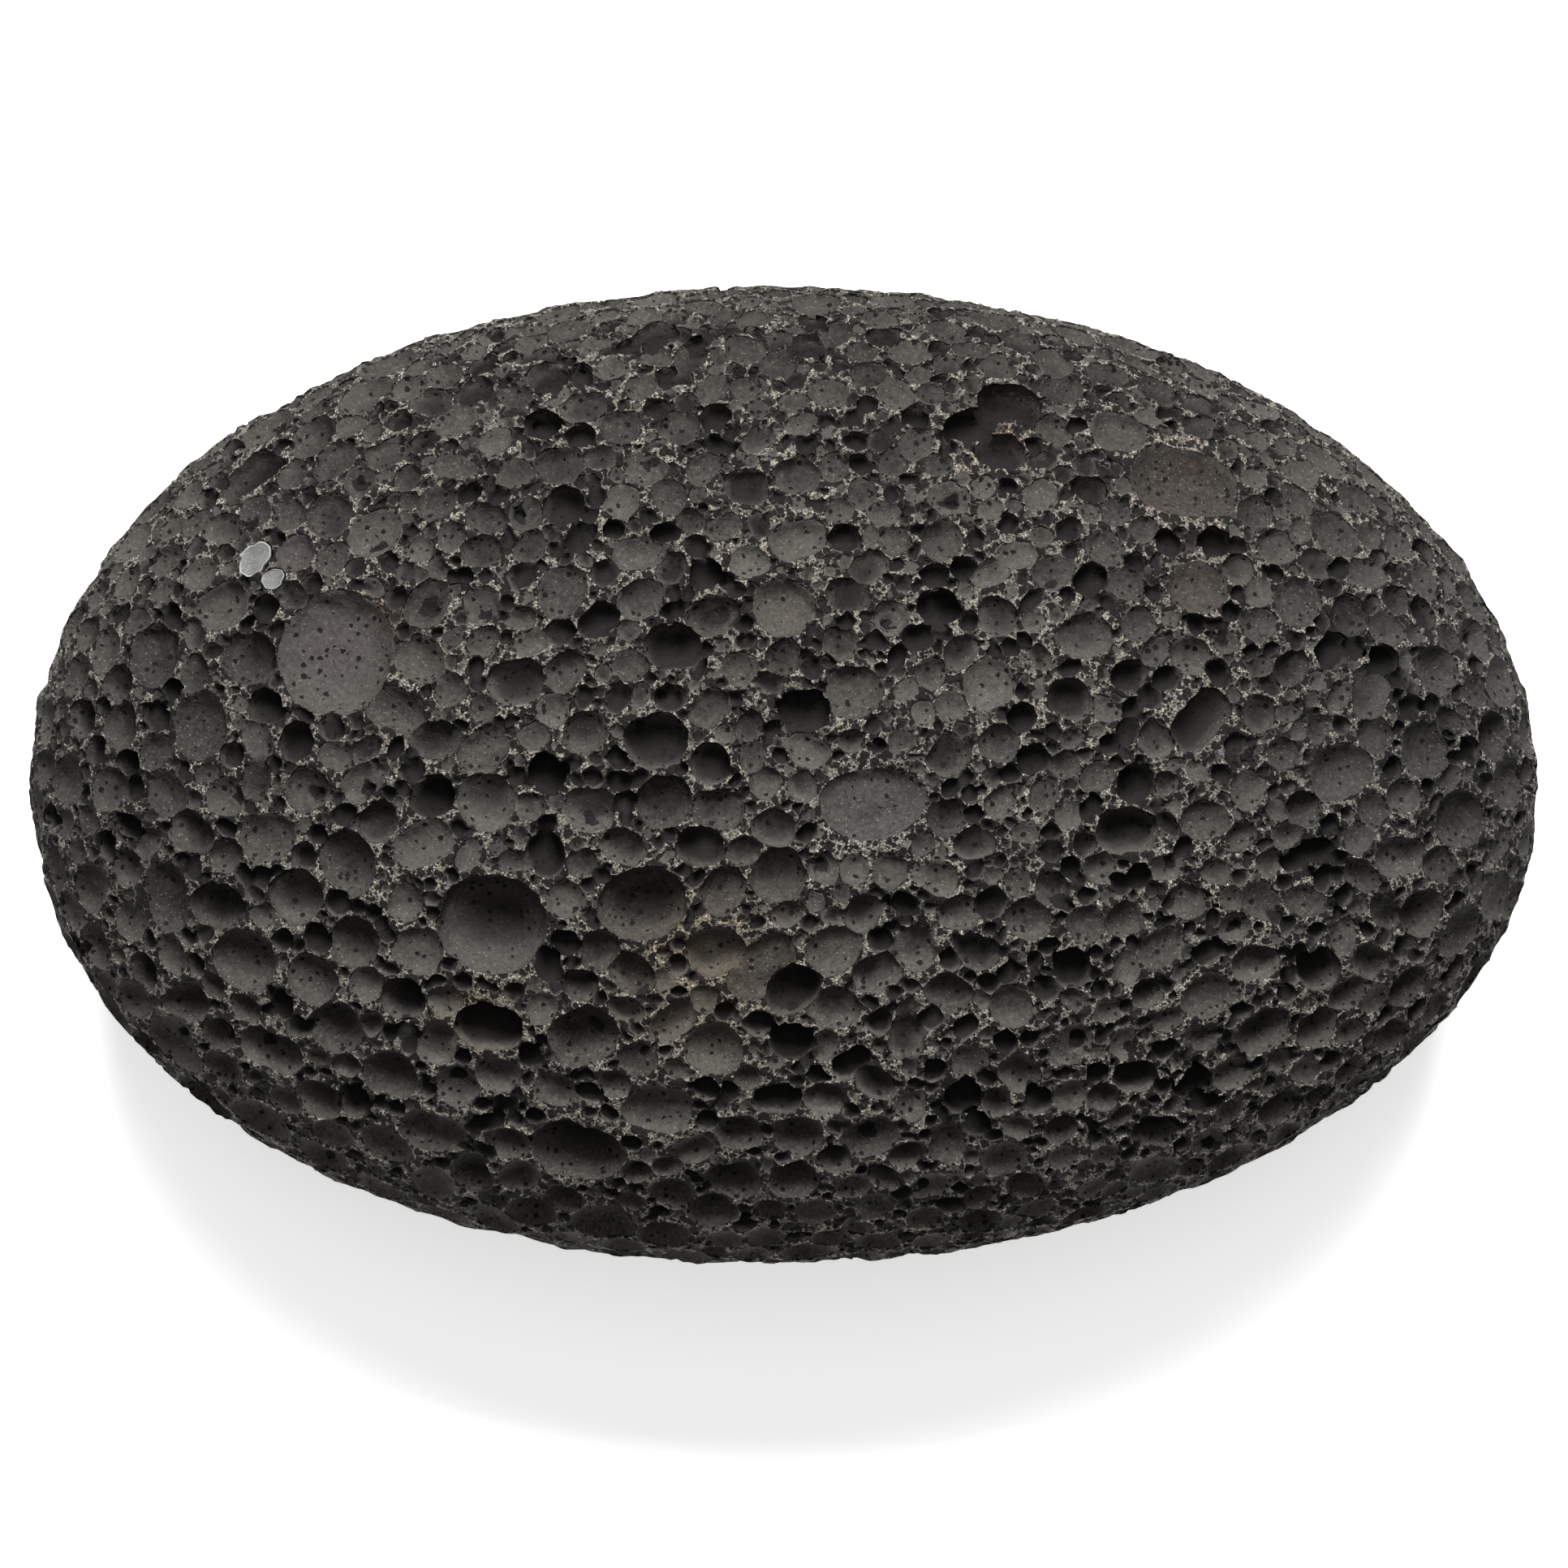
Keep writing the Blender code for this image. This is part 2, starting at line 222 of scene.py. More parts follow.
bubbles = {
    "seed": 7,
    # in millimetres and degrees: x, y, opening along its turn, opening across it, turn,
    # and the depth as a share of the smaller opening
    "crown": [
        (-29.9, 8, 7.7, 8.3, 0, 0.23), (-19.5, -10.2, 7.1, 5.9, 0, 0.5),
        (-9.5, -8.9, 5.6, 4.5, 10, 0.52), (5.9, -2.1, 6.7, 4.4, 8, 0.17), (26.8, 19.4, 7.4, 5, 0, 0.3),
        (-13.8, -25.4, 5.8, 4.4, -15, 0.5), (-35.5, 19.9, 4.2, 2.8, 30, 0.75),
        (-39.1, 3.1, 3.8, 4.8, 0, 0.27), (-42, 7.8, 3.7, 4.1, 0, 0.4), (-46.8, 3.6, 2.2, 2.6, 0, 0.6),
        (-32.5, 1.9, 2.4, 2.3, 0, 0.75), (-34.6, 4.4, 2.3, 2.1, 0, 0.75),
        (-23.5, -1.7, 2.9, 2.5, 0, 0.75), (-19.8, -2, 3.9, 3.6, 0, 0.45), (-17.9, 6, 3.6, 2.4, 0, 0.6),
        (-7.4, 8.5, 3.5, 2.7, 10, 0.75), (-12.4, 10.2, 2.6, 1.8, 45, 0.75),
        (0, 10.9, 4.2, 3.7, 0, 0.28), (0.9, 15.6, 3.9, 2.5, 18, 0.3), (4.2, 11.9, 2.5, 2.1, 0, 0.6),
        (-2.5, 19, 2.8, 2, 0, 0.6), (-15, 20.5, 3.3, 2.7, 0, 0.45), (-13.4, 24.5, 2.8, 2.1, 0, 0.5),
        (15.1, 24.6, 4.2, 2.9, 0, 0.75), (14.5, 21.4, 3.2, 2.2, 0, 0.7), (-8.5, 2.1, 4, 2.9, 10, 0.7),
        (4.6, 5.3, 3.8, 3.2, 0, 0.26), (13.7, 5.8, 3, 3.4, 0, 0.28), (-4.9, 0.6, 2.4, 2.6, 0, 0.7),
        (-8, -1.9, 3.5, 3.2, 0, 0.5), (-4.6, -12, 3.8, 2.9, 20, 0.42), (-1.5, -13.2, 5.4, 3.3, 42, 0.2),
        (0.6, -14.5, 3.2, 2.6, 30, 0.75), (3.4, -15.7, 3.3, 2.6, 25, 0.42),
        (-4.3, -2.5, 3.5, 2.5, 10, 0.42), (-5.6, -4.9, 3, 2.3, 0, 0.65), (-13, -2.4, 3, 2.6, 0, 0.45),
        (-15.9, -5.4, 2.3, 2.8, 20, 0.75), (-13.4, -17.7, 4.4, 3.6, 35, 0.45),
        (8.6, -11.7, 2.9, 2.9, 0, 0.4), (-3.1, -24, 3.2, 2.4, 0, 0.45),
        (-8.4, -22.6, 4.8, 3.3, 0, 0.27), (-0.4, -21.8, 2.8, 1.8, 0, 0.75),
        (-29.1, -6.1, 3.4, 4, 0, 0.45), (-32.6, -8.4, 3.5, 3.6, 0, 0.5), (-34.5, -4.2, 3.8, 3, 0, 0.3),
        (-36, -12.6, 4.5, 3.8, 0, 0.38), (-28.7, -11.4, 3.4, 3.2, 0, 0.45),
        (-41.2, -8.4, 3.5, 4.6, 0, 0.35), (-19.7, -17, 4.1, 2.6, -5, 0.8),
        (-29.9, -17, 3.6, 3.6, 0, 0.42), (-25.4, -15.3, 2.7, 2.9, 0, 0.65),
        (-26.3, -20.3, 3.7, 3.4, 0, 0.42), (-34.2, -18.6, 4.4, 3, -20, 0.4),
        (-42.6, -13.4, 2, 2.6, 0, 0.6), (-24.1, -4.9, 4.2, 2.7, 25, 0.27),
        (22.3, 22.7, 3.8, 2.9, 0, 0.35), (27.5, 12.4, 4.2, 3.5, 0, 0.28), (30.9, 22.6, 3, 2, -15, 0.45),
        (27.8, 3.5, 4.4, 2.6, 50, 0.62), (20.1, 9.1, 3.5, 2.8, 20, 0.42), (37.1, 0, 4.5, 3.8, 10, 0.28),
        (42.8, 1.5, 3.9, 3.6, 0, 0.3), (43.6, 6.8, 3.6, 3.4, 0, 0.35), (37.8, 10.5, 2.8, 2.7, 0, 0.45),
        (19, 4.9, 2.7, 2.3, 0, 0.7), (23.2, 6.6, 2.4, 2, 0, 0.7), (45.2, -3.2, 4, 3.8, 0, 0.38),
        (22.9, -3.9, 3.9, 2.8, 5, 0.6), (28, -3.2, 3.2, 2.6, 0, 0.3), (32, -17.3, 3.5, 2.9, 30, 0.45),
        (35.6, -17, 2.9, 2.7, 0, 0.45), (28.2, -15, 3.6, 3, 25, 0.27), (35.8, -13.2, 2.6, 2.7, 0, 0.7),
        (42.6, -9.4, 3, 3.3, 0, 0.45), (31.6, -12.8, 3.2, 2.2, 0, 0.45), (41.2, -5.6, 3.8, 2.6, 0, 0.3),
        (23.4, -20.3, 2.8, 2, 0, 0.7),
    ],
    # smallest and largest opening in millimetres, how many places are tried,
    # and the share of the stone's height above which they come
    "sizes": [(3.1, 4.4, 600, 0.0), (2.4, 3.6, 4200, 0.0), (1.8, 2.5, 7000, 0.0), (1.35, 1.9, 10000, 0.0),
              (1.0, 1.4, 20000, 0.0), (0.75, 1.05, 40000, 0.2), (0.5, 0.8, 90000, 0.45)],
    "wall": 0.0,
    # x, y, reach, share of the usual opening: finer and coarser parts of the rock
    "finerPlaces": [
        (12, 12, 12, 0.72), (18, -4, 8, 0.72), (33, -3, 7, 0.8), (-3, 22, 10, 0.8), (-10, 16, 9, 0.85),
        (-33, -14, 14, 1.2), (20, -27, 14, 0.8), (38, -22, 10, 0.85), (-40, 0, 12, 1.1),
    ],
    "listedAbove": 2.8,   # openings that reach this are only on the crown where they are listed
    "crownFrom": 0.72,   # share of the stone's height
    # depths as shares of the opening: the least, how much more chance adds, and how it leans to the least
    "sunkenDepth": (0.55, 0.35, 1.0),
    "openDepth": (0.22, 0.26, 1.2),
    "innerSizes": (0.35, 0.75),
    "innerCount": 0.03,
}


def fineness(points):
    share = np.ones(len(points))
    for x, y, reach, factor in bubbles["finerPlaces"]:
        near = np.exp(-((points[:, 0] / mm - x) ** 2 + (points[:, 1] / mm - y) ** 2) / reach ** 2)
        share *= 1 + (factor - 1) * near
    return share


def treeOf(points):
    tree = KDTree(len(points))
    for index, point in enumerate(points):
        tree.insert(point, index)
    tree.balance()
    return tree


def evenDirections(dice, count):
    # thrown on the stone's own area: long sides of the oval get their share
    thrown = dice.normal(size=(count * 2, 3))
    thrown /= np.linalg.norm(thrown, axis=1)[:, None]
    weight = np.linalg.norm(thrown / stretch, axis=1)
    kept = dice.random(count * 2) * weight.max() < weight
    return thrown[kept][:count]


def packBubbles(dice):
    # each row is one bubble: direction, opening along its turn, opening across it, turn and depth
    listed = np.array(bubbles["crown"])
    rows, placed = [], []   # placed holds each bubble's spot on the skin and the room that it takes
    for direction, (_, _, length, width, turn, depth) in zip(crownDirections(listed[:, :2] * mm), listed):
        depth = depth * min(length, width) * mm
        length, width = length * mm, width * mm
        rows.append((direction, length, width, math.radians(turn), depth))
        placed.append((onSkin(direction[None, :])[0], max(length, width) / 2 * 0.96))
    for filling in fillings:
        placed.append((onSkin(filling["direction"][None, :])[0], filling["length"] / 2 * mm))
    wall = bubbles["wall"] * mm
    for smallest, largest, tries, lowest in bubbles["sizes"]:
        smallest, largest = smallest * mm / 2, largest * mm / 2
        tried = evenDirections(dice, tries)
        points = onSkin(tried)
        kept = points[:, 2] >= lowest * highBox[2]
        if 2 * smallest > bubbles["listedAbove"] * mm:
            kept &= points[:, 2] < bubbles["crownFrom"] * highBox[2]
        tried, points = tried[kept], points[kept]
        finer = fineness(points)
        cap = (smallest + (largest - smallest) * dice.random(len(points)) ** 1.6) * finer
        room = np.full(len(points), 1.0)
        tree = treeOf(points)
        for place, reach in placed:
            for _, index, away in tree.find_range(place, reach + largest * 1.3):
                room[index] = min(room[index], away - reach)
        for index in range(len(points)):
            radius = min(cap[index], room[index] - wall)
            if radius < smallest * finer[index]:
                continue
            for _, other, away in tree.find_range(points[index], radius + largest * 1.3):
                room[other] = min(room[other], away - radius)
            room[index] = 0
            placed.append((points[index], radius))
            # 0 at the stone's widest part, 1 on the crown and the belly
            flank = min(1.0, abs(points[index, 2] / highBox[2] - 0.5) / 0.3)
            stretchBy = 1 + 0.55 * dice.random() ** 1.5 * flank
            deepChance = 0.58 if radius < 0.9 * mm else 0.10 if radius < 1.3 * mm else 0.0
            sunken = dice.random() < deepChance * (0.2 + 0.8 * flank)
            least, more, lean = bubbles["sunkenDepth"] if sunken else bubbles["openDepth"]
            depth = (least + more * dice.random() ** lean) * 2 * radius * (0.8 + 0.2 * flank)
            rows.append((tried[index], 2 * radius * stretchBy ** 0.5, 2 * radius / stretchBy ** 0.5,
                         math.radians(dice.normal(20, 40)), depth))
    return rows


def ballsFor(rows):
    # a bubble is one ball, or a patch of smaller balls where it is long or has a flat floor
    directions = np.array([row[0] for row in rows])
    points, normals = onSkin(directions), skinNormals(directions)
    places, openings, depths, owner = [], [], [], []
    for index, (_, length, width, turn, depth) in enumerate(rows):
        normal = normals[index]
        along = np.array([math.cos(turn), math.sin(turn), 0.0])
        if abs(normal @ along) > 0.95:
            along = np.array([0.0, 0.0, 1.0])
        along -= normal * (normal @ along)
        along /= np.linalg.norm(along)
        across = np.cross(normal, along)
        opening = min(length / 2, width / 2, 1.6 * depth)
        reach = np.array([length / 2 - opening, width / 2 - opening])
        rings = int(np.ceil(reach.max() / (0.5 * mm))) if reach.max() > 0.08 * mm else 0
        spots = [(0.0, 0.0)]
        for ring in range(1, rings + 1):
            size = reach * ring / rings
            count = max(2, int(np.ceil(2 * math.pi * size.max() / (0.55 * mm))))
            for step in range(count):
                angle = 2 * math.pi * step / count
                spots.append((size[0] * math.cos(angle), size[1] * math.sin(angle)))
        for first, second in spots:
            places.append(points[index] + along * first + across * second)
            openings.append(opening)
            depths.append(depth)
            owner.append(index)
    openings, depths = np.array(openings), np.array(depths)
    radii = (openings ** 2 + depths ** 2) / (2 * depths)
    directions = skinDirections(np.array(places))
    centres = onSkin(directions) + skinNormals(directions) * (radii - depths)[:, None]
    return centres, radii, np.array(owner)


def innerBubbles(dice, rows):
    # smaller bubbles that open from the floor or the wall of a larger one
    directions = np.array([row[0] for row in rows])
    points, normals = onSkin(directions), skinNormals(directions)
    places, sizes = [], []
    smallest, largest = bubbles["innerSizes"]
    for index, (_, length, width, turn, depth) in enumerate(rows):
        if width < 1.5 * mm or index < len(bubbles["crown"]) and depth < 0.4 * width:
            continue
        radius = (width ** 2 / 4 + depth ** 2) / (2 * depth)
        for _ in range(dice.poisson(bubbles["innerCount"] * (width / mm) ** 1.5)):
            swing = dice.normal(size=3)
            swing -= normals[index] * (swing @ normals[index])
            heading = -normals[index] + swing * 0.8 * min(1.0, 1.6 * depth / width)
            heading /= np.linalg.norm(heading)
            size = (smallest + (largest - smallest) * dice.random() ** 2.2) / 2 * mm
            size *= 0.8 + 0.2 * width / mm
            middleOfBubble = points[index] + normals[index] * (radius - depth)
            places.append(middleOfBubble + heading * (radius + size * (0.1 + 0.5 * dice.random())))
            sizes.append(size)
    return np.array(places), np.array(sizes)


fillings = [
    {"name": "largeMineralFilling", "node": "large_mineral_filling",
     "length": 2.45, "width": 2.05, "turn": 62, "thickness": 1.2, "seed": 3},
    {"name": "smallMineralFilling", "node": "small_mineral_filling",
     "length": 1.55, "width": 1.35, "turn": 40, "thickness": 0.9, "seed": 8},
]
for filling in fillings:
    lowCorner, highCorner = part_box(filling["node"])
    filling["direction"] = skinDirections(np.array([(lowCorner + highCorner) / 2]))[0]

dice = np.random.default_rng(bubbles["seed"])
rows = packBubbles(dice)
for filling in fillings:
    rows.append((filling["direction"], filling["length"] * mm, filling["width"] * mm,
                 math.radians(filling["turn"]), filling["thickness"] * mm))
report(f"{len(rows)} bubbles packed")
ballCentres, ballRadii, ballOwners = ballsFor(rows)
innerCentres, innerRadii = innerBubbles(dice, rows[:-len(fillings)])
ballCentres = np.concatenate([ballCentres, innerCentres])
ballRadii = np.concatenate([ballRadii, innerRadii])
ballOwners = np.concatenate([ballOwners, len(rows) + np.arange(len(innerRadii))])
bubbleWidths = np.concatenate([[min(row[1], row[2]) for row in rows], 2 * innerRadii])
report(f"{len(innerRadii)} inner bubbles")
bubbleCloud = meshObject("bubbleCloud", ballCentres)
storeFloat(bubbleCloud.data, "bubbleRadius", ballRadii)


# the rock itself

rock = {
    "Cell Size": 0.20 * mm,
    "Simplify": 0.15,
    "Warp Height": 0.9 * mm,
    "Warp Size": 6.0 * mm,
    "Grain Height": 0.14 * mm,
    "Grain Size": 1.4 * mm,
    "triangles": 195000,
    "crownFavour": 2.5,   # how much finer the crown is kept than the underside
    "rimReach": 0.35 * mm,   # how far from its wall a bubble's neighbours are still noticed
    "wallReach": 0.20 * mm,   # beyond this a point is on the ground between the bubbles
}


def newTree(name, inputs):
    tree = bpy.data.node_groups.new(name, "GeometryNodeTree")
    for label, kind in {"Geometry": "Geometry", **inputs}.items():
        tree.interface.new_socket(label, in_out="INPUT", socket_type=f"NodeSocket{kind}")
    tree.interface.new_socket("Geometry", in_out="OUTPUT", socket_type="NodeSocketGeometry")
    return tree, addNode(tree, "NodeGroupInput").outputs


def finishTree(tree, geometry, material):
    plain = addNode(tree, "GeometryNodeRealizeInstances", {"Geometry": geometry})
    finished = addNode(tree, "GeometryNodeSetMaterial",
                       {"Geometry": plain.outputs[0], "Material": material})
    addNode(tree, "NodeGroupOutput", {"Geometry": finished.outputs[0]})


def foamTree():
    tree, given = newTree("foamedRock", {"Bubbles": "Object", "Material": "Material",
                                         "Cell Size": "Float", "Simplify": "Float"})
    cloud = addNode(tree, "GeometryNodeObjectInfo", {"Object": given["Bubbles"]})
    radius = addNode(tree, "GeometryNodeInputNamedAttribute", {"Name": "bubbleRadius"}, data_type="FLOAT")
    points = addNode(tree, "GeometryNodeMeshToPoints",
                     {"Mesh": cloud.outputs["Geometry"], "Radius": radius.outputs["Attribute"]})
    pointRadius = addNode(tree, "GeometryNodeInputRadius")
    hollow = addNode(tree, "GeometryNodePointsToSDFGrid",
                     {"Points": points.outputs[0], "Radius": pointRadius.outputs[0],
                      "Voxel Size": given["Cell Size"]})
    solid = addNode(tree, "GeometryNodeMeshToSDFGrid",
                    {"Mesh": given["Geometry"], "Voxel Size": given["Cell Size"]})
    carved = addNode(tree, "GeometryNodeSDFGridBoolean", operation="DIFFERENCE")
    tree.links.new(solid.outputs[0], carved.inputs["Grid 1"])
    tree.links.new(hollow.outputs[0], carved.inputs["Grid 2"])
    skin = addNode(tree, "GeometryNodeGridToMesh",
                   {"Grid": carved.outputs[0], "Threshold": 0.0, "Adaptivity": given["Simplify"]})

    # drops the bubbles that never reach the open air, which come out as shells of their own
    island = addNode(tree, "GeometryNodeInputMeshIsland")
    size = addNode(tree, "GeometryNodeAccumulateField",
                   {"Value": 1.0, "Group Index": island.outputs["Island Index"]},
                   data_type="FLOAT", domain="POINT")
    count = addNode(tree, "GeometryNodeAttributeDomainSize", {"Geometry": skin.outputs[0]},
                    component="MESH")
    half = addNode(tree, "ShaderNodeMath", {0: count.outputs["Point Count"], 1: 0.5}, operation="MULTIPLY")
    small = addNode(tree, "FunctionNodeCompare", {"A": size.outputs["Total"], "B": half.outputs[0]},
                    operation="LESS_THAN", data_type="FLOAT")
    whole = addNode(tree, "GeometryNodeDeleteGeometry",
                    {"Geometry": skin.outputs[0], "Selection": small.outputs[0]}, domain="POINT")
    finishTree(tree, whole.outputs[0], given["Material"])
    return tree


def roughenTree():
    tree, given = newTree("roughenedRock", {"Material": "Material",
                                            "Warp Height": "Float", "Warp Size": "Float",
                                            "Grain Height": "Float", "Grain Size": "Float"})

    def wobble(sizeName, heightName, detail, offset):
        place = addNode(tree, "GeometryNodeInputPosition")
        moved = addNode(tree, "ShaderNodeVectorMath", {0: place.outputs[0], 1: offset}, operation="ADD")
        scale = addNode(tree, "ShaderNodeMath", {0: 2.0, 1: given[sizeName]}, operation="DIVIDE")
        noise = addNode(tree, "ShaderNodeTexNoise", {"Vector": moved.outputs[0], "Scale": scale.outputs[0],
                                                     "Detail": detail, "Roughness": 0.5})
        centred = addNode(tree, "ShaderNodeVectorMath",
                          {0: noise.outputs["Color"], 1: (0.5, 0.5, 0.5)}, operation="SUBTRACT")
        return addNode(tree, "ShaderNodeVectorMath",
                       {0: centred.outputs[0], "Scale": given[heightName]}, operation="SCALE")

    warp = wobble("Warp Size", "Warp Height", 1.0, (0.0, 0.0, 0.0))
    grain = wobble("Grain Size", "Grain Height", 2.0, (0.3, 0.1, 0.7))
    both = addNode(tree, "ShaderNodeVectorMath", {0: warp.outputs[0], 1: grain.outputs[0]}, operation="ADD")
    moved = addNode(tree, "GeometryNodeSetPosition",
                    {"Geometry": given["Geometry"], "Offset": both.outputs[0]})
    finishTree(tree, moved.outputs[0], given["Material"])
    return tree


def useTree(obj, tree, values):
    modifier = obj.modifiers.new(tree.name, "NODES")
    modifier.node_group = tree
    for item in tree.interface.items_tree:
        if item.in_out == "INPUT" and item.name in values:
            modifier[item.identifier] = values[item.name]
    asPlainMesh(obj, obj.name)


def tumbledSkin():
    # the oval with its foot worn flat
    directions, faces = cubeGrid(oval["skinSteps"])
    points = onSkin(directions)
    soft, reach = oval["footRound"], oval["footReach"]
    heights = points[:, 2]
    worn = soft * np.logaddexp(heights / soft, 0.0)
    points[:, 2] = np.maximum(worn - soft * math.log(2) * np.exp(-np.abs(heights) / reach), 0.0)
    stone = meshObject("basaltStone", points, faces)
    shape = bmesh.new()
    shape.from_mesh(stone.data)
    bmesh.ops.remove_doubles(shape, verts=shape.verts, dist=0.001 * mm)
    bmesh.ops.recalc_face_normals(shape, faces=shape.faces)
    shape.to_mesh(stone.data)
    shape.free()
    return stone


def thinRock(stone):
    # in millimetres, because the modifier loses the small costs of a mesh in metres
    heights = corners(stone.data)[:, 2] / highBox[2]
    spare = stone.vertex_groups.new(name="spareTriangles")
    for vertex, weight in enumerate(0.4 + 0.6 * np.clip((0.62 - heights) / 0.4, 0, 1)):
        spare.add([vertex], weight, "REPLACE")
    stone.data.calc_loop_triangles()
    stone.data.transform(Matrix.Scale(1 / mm, 4))
    thin = stone.modifiers.new("thin", "DECIMATE")
    thin.ratio = rock["triangles"] / len(stone.data.loop_triangles)
    thin.vertex_group = "spareTriangles"
    thin.vertex_group_factor = rock["crownFavour"]
    asPlainMesh(stone, "basaltStone")
    stone.data.transform(Matrix.Scale(mm, 4))
    stone.vertex_groups.clear()


def buildRock(material):
    stone = tumbledSkin()
    useTree(stone, foamTree(), {**rock, "Bubbles": bubbleCloud, "Material": material})
    bpy.data.objects.remove(bubbleCloud)
    report(f"rock carved: {len(stone.data.polygons)} faces")
    thinRock(stone)
    report(f"rock thinned: {len(stone.data.polygons)} faces")
    markRock(stone.data)
    report("rock marked")
    useTree(stone, roughenTree(), {**rock, "Material": material})
    points = corners(stone.data)
    points[:, 2] = np.maximum(points[:, 2], 0.0)
    stone.data.vertices.foreach_set("co", points.astype(np.float32).ravel())
    stone.data.update()
    return stone


# finishes: groups that the stone and its mineral share

def newGroup(name, inputs, outputs):
    group = bpy.data.node_groups.new(name, "ShaderNodeTree")
    for label, kind, value in inputs:
        socket = group.interface.new_socket(label, in_out="INPUT", socket_type=f"NodeSocket{kind}")
        if value is not None:
            socket.default_value = value
    for label, kind in outputs:
        group.interface.new_socket(label, in_out="OUTPUT", socket_type=f"NodeSocket{kind}")
    return group, addNode(group, "NodeGroupInput").outputs


def mathNode(tree, operation, *values):
    return addNode(tree, "ShaderNodeMath", dict(enumerate(values)), operation=operation).outputs[0]


def fade(tree, value, low, high):
    node = addNode(tree, "ShaderNodeMapRange", {"Value": value, "From Min": low, "From Max": high},
                   interpolation_type="SMOOTHSTEP")
    return node.outputs["Result"]


def blend(tree, share, first, second, how="MIX"):
    node = addNode(tree, "ShaderNodeMix", data_type="RGBA", blend_type=how)
    for socket, value in (("Factor_Float", share), ("A_Color", first), ("B_Color", second)):
        target = next(one for one in node.inputs if one.identifier == socket)
        if isinstance(value, bpy.types.NodeSocket):
            tree.links.new(value, target)
        else:
            target.default_value = value
    return next(one for one in node.outputs if one.identifier == "Result_Color")


def poreGroup():
    # pinholes of mixed size: the mask is 1 inside a pinhole, where the finishes paint the hole's shade
    group, given = newGroup("pinholePores", [("Vector", "Vector", None), ("Spacing", "Float", 0.0005),
                                             ("Widest", "Float", 0.3), ("Rarity", "Float", 2.0)],
                            [("Pore", "Float")])
    scale = mathNode(group, "DIVIDE", 1.0, given["Spacing"])
    finer = mathNode(group, "MULTIPLY", scale, 2.5)
    ragged = addNode(group, "ShaderNodeTexNoise",
                     {"Vector": given["Vector"], "Scale": finer, "Detail": 1.0})
    centred = addNode(group, "ShaderNodeVectorMath",
                      {0: ragged.outputs["Color"], 1: (0.5, 0.5, 0.5)}, operation="SUBTRACT")
    shoveLength = mathNode(group, "MULTIPLY", given["Spacing"], 0.45)
    shove = addNode(group, "ShaderNodeVectorMath",
                    {0: centred.outputs[0], "Scale": shoveLength}, operation="SCALE")
    bent = addNode(group, "ShaderNodeVectorMath",
                   {0: given["Vector"], 1: shove.outputs[0]}, operation="ADD")
    cells = addNode(group, "ShaderNodeTexVoronoi",
                    {"Vector": bent.outputs[0], "Scale": scale}, feature="F1")
    pick = addNode(group, "ShaderNodeSeparateColor", {0: cells.outputs["Color"]})
    width = mathNode(group, "POWER", pick.outputs[0], given["Rarity"])
    reach = mathNode(group, "MULTIPLY", width, given["Widest"])
    edge = mathNode(group, "SUBTRACT", reach, cells.outputs["Distance"])
    addNode(group, "NodeGroupOutput", {"Pore": fade(group, edge, -0.02, 0.04)})
    return group


def grainGroup():
    # crystal grains: bright specks of a chosen size, and the rough height of the ground mass
    group, given = newGroup("crystalGrain", [("Vector", "Vector", None), ("Grain Size", "Float", 0.0002),
                                             ("Amount", "Float", 0.3)],
                            [("Speck", "Float"), ("Height", "Float"), ("Kind", "Float")])
    scale = mathNode(group, "DIVIDE", 1.0, given["Grain Size"])
    cells = addNode(group, "ShaderNodeTexVoronoi",
                    {"Vector": given["Vector"], "Scale": scale}, feature="F1")
    pick = addNode(group, "ShaderNodeSeparateColor", {0: cells.outputs["Color"]})
    limit = mathNode(group, "SUBTRACT", 1.0, given["Amount"])
    chosen = fade(group, mathNode(group, "SUBTRACT", pick.outputs[0], limit), -0.02, 0.06)
    core = fade(group, cells.outputs["Distance"], 0.55, 0.25)
    fine = addNode(group, "ShaderNodeTexNoise",
                   {"Vector": given["Vector"], "Scale": scale, "Detail": 3.0, "Roughness": 0.6})
    addNode(group, "NodeGroupOutput", {"Speck": mathNode(group, "MULTIPLY", chosen, core),
                                       "Height": fine.outputs["Fac"], "Kind": pick.outputs[1]})
    return group


pinholePores, crystalGrain = poreGroup(), grainGroup()

basaltLook = {
    "floorDark": (0.0165, 0.0155, 0.0136, 1),
    "floorLight": (0.072, 0.0675, 0.0594, 1),
    "gritDark": (0.032, 0.0295, 0.025, 1),
    "gritLight": (0.236, 0.220, 0.184, 1),
    "speck": (0.42, 0.395, 0.33, 1),
    "yellowSpeck": (0.26, 0.235, 0.11, 1),
    # painted shade: the near-black of pinholes and deep bubbles
    "holeShade": (0.0025, 0.0022, 0.002, 1),
    "roughness": 0.88,
}


